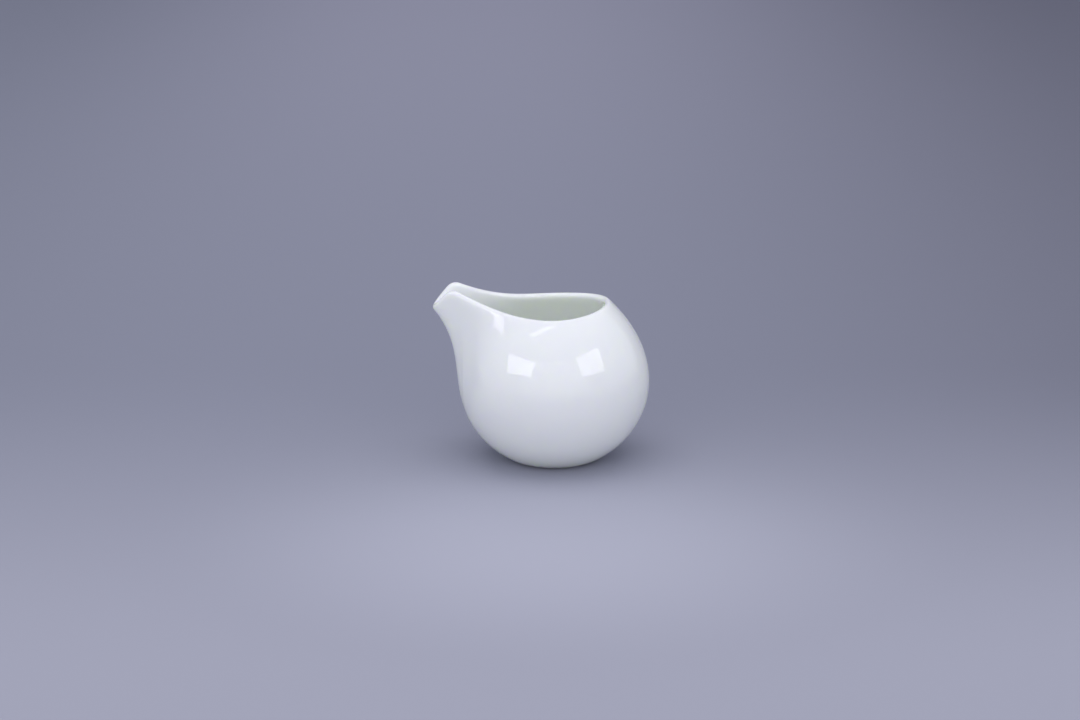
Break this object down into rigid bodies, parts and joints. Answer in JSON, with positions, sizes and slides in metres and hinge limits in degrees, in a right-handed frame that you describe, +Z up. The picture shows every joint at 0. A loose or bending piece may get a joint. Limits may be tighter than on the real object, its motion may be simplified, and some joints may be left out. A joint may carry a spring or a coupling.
{
  "type": "bone china jug",
  "caption": "Small handleless cream jug: a round body on a low foot ring, a saddle-shaped mouth with a rounded rim and a drawn-out pouring lip.",
  "frame": {"origin": "centre of the foot ring, on the surface that the jug stands on", "axes": "+Z up along the round body's axis; the pouring lip points to -X and the back of the mouth to +X; the jug mirrors across Y = 0"},
  "size_m": [0.0851, 0.0752, 0.069],
  "materials": {
    "bone_china": "clear gloss glaze over white bone china"
  },
  "bodies": {
    "root": {"jug": "bone_china"}
  },
  "joints": []
}
